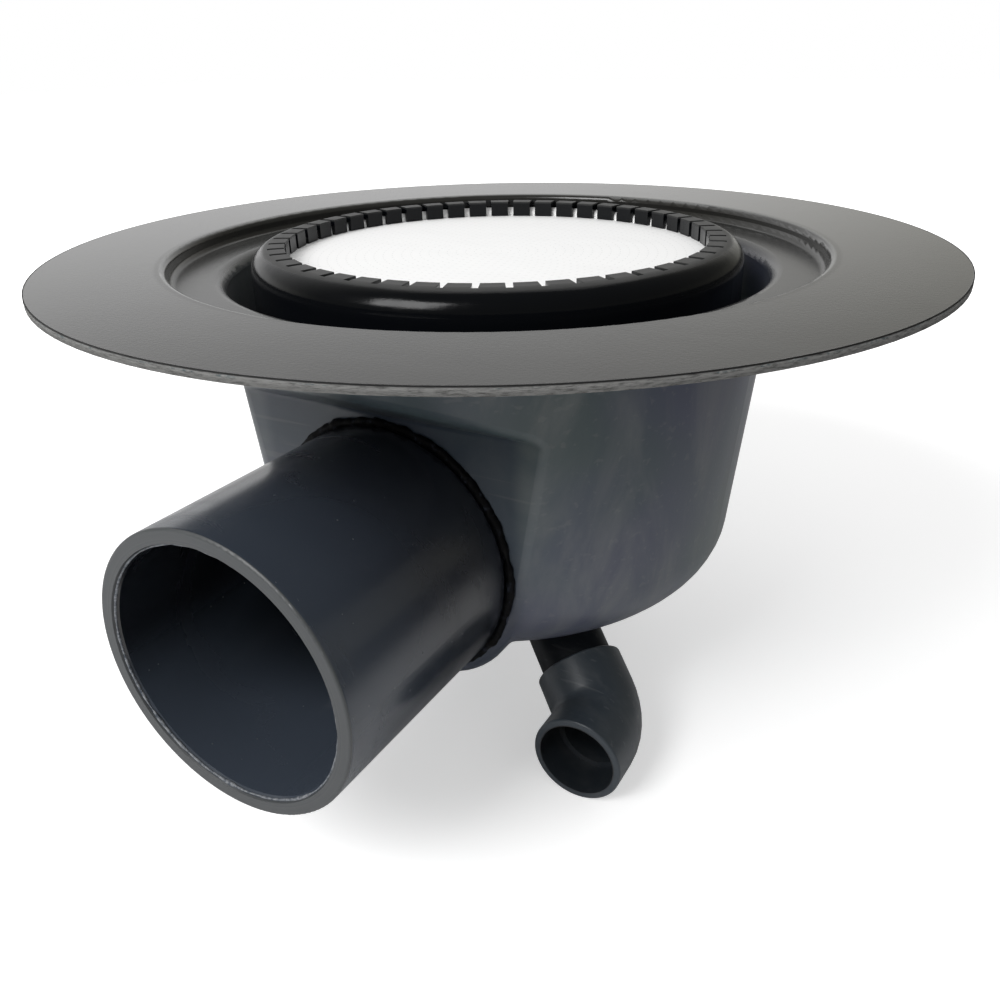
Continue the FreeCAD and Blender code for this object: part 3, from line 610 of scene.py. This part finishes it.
def rubber_finish(settings):
    """Matt black rubber."""
    material, tree, shader, place = new_finish("seal_rubber")
    bloom = smears(tree, place, scale=60.0, start=0.45, end=0.8)
    feed(tree, shader.inputs["Base Color"], mix_colour(
        tree, times(tree, bloom, 0.2), opaque(settings.rubber_colour), opaque(settings.sawn_colour)))
    feed(tree, shader.inputs["Roughness"], between(tree, bloom, 0.6, 0.8))
    set_bump(tree, shader, skin_grain(tree, place, grain=2200.0, waves=200.0, wave_share=1.0), 0.00002)
    return material


def dress(names, material):
    """Give solids of the frame their finish."""
    for name in names:
        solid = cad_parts[name]
        solid.data.materials.clear()
        solid.data.materials.append(material)


def pick_points(piece, chosen):
    """Select the points of a piece in edit mode that a test of their place picks."""
    bpy.ops.object.mode_set(mode="EDIT")
    bpy.ops.mesh.select_mode(type="VERT")
    bpy.ops.mesh.select_all(action="DESELECT")
    bpy.ops.object.mode_set(mode="OBJECT")
    for point in piece.data.vertices:
        point.select = chosen(point.co)
    bpy.ops.object.mode_set(mode="EDIT")


def start_ring(name, radius, section, steps, centre, turn):
    """A round ring at its size and place, with its place in its mesh."""
    bpy.ops.object.select_all(action="DESELECT")
    bpy.ops.mesh.primitive_torus_add(
        major_radius=radius, minor_radius=section, major_segments=steps, minor_segments=RING_SIDES,
        location=centre, rotation=turn)
    ring = bpy.context.active_object
    ring.name = name
    bpy.ops.object.transform_apply(location=True, rotation=True, scale=True)
    return ring


def roughen(piece, grain, depth):
    """Push a piece's skin in and out by a cloudy pattern."""
    pattern = bpy.data.textures.new(f"{piece.name}_clouds", "CLOUDS")
    pattern.noise_scale = grain
    push = piece.modifiers.new("ragged", "DISPLACE")
    push.texture = pattern
    push.texture_coords = "LOCAL"
    push.strength = depth
    bpy.ops.object.modifier_apply(modifier=push.name)


def finish_piece(piece, material, body):
    """Smooth, colour and hang a finished piece on its body."""
    bpy.ops.object.shade_smooth()
    piece.data.materials.append(material)
    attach(piece, body)


class DRAIN_OT_formed_body(bpy.types.Operator):
    """Finish the formed sump and leave a torn burr under its flange's sawn edge"""

    bl_idname = "drain.formed_body"
    bl_label = "Formed Body"

    def execute(self, context):
        finish = context.scene.drain_finish
        beads = context.scene.drain_beads
        dress(["drain_body"], sheet_finish(finish))
        foot = Vector((0, 0, FLANGE_TOP - BURR_BELOW_TOP))
        burr = start_ring("flange_burr", FLANGE_RADIUS - beads.burr_section, beads.burr_section,
                          beads.ring_steps * 2, foot, (0, 0, 0))
        roughen(burr, FINE_TEAR, beads.burr_raggedness)
        torn = burr_finish("sawn_burr", finish.sheet_colour, finish.sawn_colour)
        finish_piece(burr, torn, "drain")
        return {"FINISHED"}


class DRAIN_OT_outlet(bpy.types.Operator):
    """Finish the outlet pipe, lay the ragged bead of glue round it and leave a burr in its mouth"""

    bl_idname = "drain.outlet"
    bl_label = "Outlet"

    def execute(self, context):
        finish = context.scene.drain_finish
        beads = context.scene.drain_beads
        dress(["outlet_pipe"], pipe_finish(finish))
        centre = Vector((0, PAD_FACE - beads.bead_section / 2, PIPE_LEVEL))
        bead = start_ring("outlet_bead", PIPE_RADIUS + beads.bead_section / 2, beads.bead_section,
                          beads.ring_steps, centre, (math.pi / 2, 0, 0))
        roughen(bead, COARSE_BLOBS, beads.bead_raggedness)
        roughen(bead, FINE_BLOBS, beads.bead_raggedness)
        pick_points(bead, lambda point: point.y > PAD_FACE)
        bpy.ops.transform.resize(value=(1, 0, 1), center_override=(0, PAD_FACE, PIPE_LEVEL))
        bpy.ops.object.mode_set(mode="OBJECT")
        finish_piece(bead, adhesive_finish(finish), "drain")
        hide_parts("outlet_weld")

        mouth = Vector((0, PIPE_END + MOUTH_BEVEL, PIPE_LEVEL))
        burr = start_ring("outlet_burr", PIPE_RADIUS - PIPE_WALL + MOUTH_BEVEL / 2, beads.burr_section,
                          beads.ring_steps * 2, mouth, (math.pi / 2, 0, 0))
        roughen(burr, COARSE_TEAR, beads.burr_raggedness)
        torn = burr_finish("outlet_burr", finish.bore_colour, finish.burr_colour)
        finish_piece(burr, torn, "drain")
        return {"FINISHED"}


class DRAIN_OT_air_line(bpy.types.Operator):
    """Finish the air pipe and its elbows"""

    bl_idname = "drain.air_line"
    bl_label = "Air Line"

    def execute(self, context):
        finish = context.scene.drain_finish
        moulded = ["air_elbow_inner", "air_elbow_outer", "riser_adaptor"]
        dress(moulded, fitting_finish(finish, "air_fitting", finish.fitting_colour, wear=1.0, shine=0.5))
        straight = ["air_pipe", "riser_pipe"]
        dress(straight, fitting_finish(finish, "air_pipe", finish.air_pipe_colour, wear=0.3, shine=0.1))
        return {"FINISHED"}


class DRAIN_OT_dome(bpy.types.Operator):
    """Finish the lift-out dome: ring, membrane, base and seals"""

    bl_idname = "drain.dome"
    bl_label = "Aerated Dome"

    def execute(self, context):
        finish = context.scene.drain_finish
        dress(["retaining_ring", "diffuser_base"], dome_finish(finish))
        dress(["membrane"], membrane_finish(finish))
        dress(["riser_seal", "thread_gasket"], rubber_finish(finish))
        return {"FINISHED"}


def seen_rays(tree):
    """1 for what the camera sees, itself or in gloss and glass, and 0 for light."""
    path = tree.nodes.new("ShaderNodeLightPath")
    seen = maths(tree, "MAXIMUM", path.outputs["Is Camera Ray"], path.outputs["Is Glossy Ray"])
    return maths(tree, "MAXIMUM", seen, path.outputs["Is Transmission Ray"]), path


def white_floor(settings):
    """White floor that keeps the shadow near the drain and fades to plain white further off."""
    material, tree, shader, place = new_finish("white_floor")
    shader.inputs["Roughness"].default_value = 0.9
    shader.inputs["Specular IOR Level"].default_value = 0.0
    path = tree.nodes.new("ShaderNodeLightPath")
    sideways = add_node(tree, "ShaderNodeSeparateXYZ", {0: place}).outputs["X"]
    dim = times(tree, path.outputs["Is Glossy Ray"], fade(tree, sideways, 0.15, 0.45))
    feed(tree, shader.inputs["Base Color"], mix_colour(tree, dim, FLOOR_WHITE, FLOOR_DIM))
    distance = add_node(tree, "ShaderNodeVectorMath", {0: place}, operation="LENGTH").outputs["Value"]
    lift = between(tree, fade(tree, distance, 0.35, 0.9), settings.floor_lift, 1.0)
    lift = times(tree, lift, path.outputs["Is Camera Ray"])
    shader.inputs["Emission Color"].default_value = WHITE
    feed(tree, shader.inputs["Emission Strength"], lift)
    return material


def white_room(settings):
    """White surroundings: plain to the camera, brighter on one side and low down in gloss, even as light."""
    world = bpy.data.worlds.new("white_room")
    world.use_nodes = True
    tree = world.node_tree
    seen, path = seen_rays(tree)
    direction = tree.nodes.new("ShaderNodeTexCoord").outputs["Generated"]
    bright_side = Vector(settings.bright_side).normalized()
    facing = add_node(tree, "ShaderNodeVectorMath", {0: direction, 1: bright_side}, operation="DOT_PRODUCT")
    bright = fade(tree, facing.outputs["Value"], 0.3, 0.98)
    gloss = between(tree, bright, settings.dim_strength, settings.bright_strength)
    height = add_node(tree, "ShaderNodeSeparateXYZ", {0: direction}).outputs["Z"]
    high_up = fade(tree, height, 0.18, 0.30)
    gloss = times(tree, gloss, between(tree, high_up, 1.0, settings.ceiling_share))
    shown = maths(tree, "MAXIMUM", gloss, path.outputs["Is Camera Ray"])
    background = tree.nodes["Background"]
    tint = mix_colour(tree, bright, opaque(settings.dim_tint), WHITE)
    feed(tree, background.inputs["Color"], mix_colour(tree, path.outputs["Is Glossy Ray"], WHITE, tint))
    lit = times(tree, maths(tree, "SUBTRACT", 1.0, seen), settings.sky_strength)
    feed(tree, background.inputs["Strength"], maths(tree, "ADD", times(tree, seen, shown), lit))
    return world


def add_lamp(name, place, aim, width, power):
    """A large soft square lamp that faces a point."""
    bpy.ops.object.select_all(action="DESELECT")
    bpy.ops.object.light_add(type="AREA", location=place)
    lamp = bpy.context.active_object
    lamp.name = name
    lamp.data.size = width
    lamp.data.energy = power
    lamp.rotation_euler = (Vector(aim) - Vector(place)).to_track_quat("-Z", "Y").to_euler()


class DRAIN_OT_stage(bpy.types.Operator):
    """Set up the white floor, the soft light and the camera"""

    bl_idname = "drain.stage"
    bl_label = "Stage"

    def execute(self, context):
        stage = context.scene.drain_stage
        bpy.ops.object.select_all(action="DESELECT")
        bpy.ops.mesh.primitive_plane_add(size=FLOOR_SIZE, location=(0, 0, CAD_BOX[0].z))
        floor = context.active_object
        floor.name = "studio_floor"
        floor.data.materials.append(white_floor(stage))
        context.scene.world = white_room(stage)

        middle = (CAD_BOX[0] + CAD_BOX[1]) / 2
        add_lamp("key_lamp", stage.key_place, middle, stage.key_width, stage.key_power)
        add_lamp("back_lamp", stage.back_place, middle, stage.back_width, stage.back_power)

        bpy.ops.object.camera_add()
        camera = context.active_object
        camera.name = "photo_camera"
        right = Vector(stage.camera_right).normalized()
        up = Vector(stage.camera_up).normalized()
        back = right.cross(up)
        turn = Matrix((right, up, back)).transposed().to_4x4()
        camera.matrix_world = Matrix.Translation(stage.camera_place) @ turn
        camera.data.lens = stage.lens
        camera.data.sensor_width = SENSOR_WIDTH
        camera.data.clip_start = 0.01
        context.scene.camera = camera
        context.scene.view_settings.view_transform = "Standard"
        return {"FINISHED"}


class DRAIN_PT_panel(bpy.types.Panel):
    """Sizes, colours and steps of the drain's looks"""

    bl_idname = "DRAIN_PT_panel"
    bl_label = "Pond Bottom Drain"
    bl_space_type = "VIEW_3D"
    bl_region_type = "UI"
    bl_category = "Drain"

    def draw(self, context):
        for settings in (context.scene.drain_finish, context.scene.drain_beads, context.scene.drain_stage):
            box = self.layout.box()
            for name in settings.__annotations__:
                box.prop(settings, name)
        for step in STEPS:
            self.layout.operator(step.bl_idname)


STEPS = (DRAIN_OT_formed_body, DRAIN_OT_outlet, DRAIN_OT_air_line, DRAIN_OT_dome, DRAIN_OT_stage)
SETTINGS = {"drain_finish": FinishSettings, "drain_beads": BeadSettings, "drain_stage": StageSettings}


def register():
    for group in (*SETTINGS.values(), *STEPS, DRAIN_PT_panel):
        bpy.utils.register_class(group)
    for name, group in SETTINGS.items():
        setattr(bpy.types.Scene, name, PointerProperty(type=group))


def unregister():
    for name in SETTINGS:
        delattr(bpy.types.Scene, name)
    for group in (DRAIN_PT_panel, *STEPS, *SETTINGS.values()):
        bpy.utils.unregister_class(group)


def main():
    register()
    bpy.ops.drain.formed_body()
    bpy.ops.drain.outlet()
    bpy.ops.drain.air_line()
    bpy.ops.drain.dome()
    bpy.ops.drain.stage()


if __name__ == "__main__":
    main()
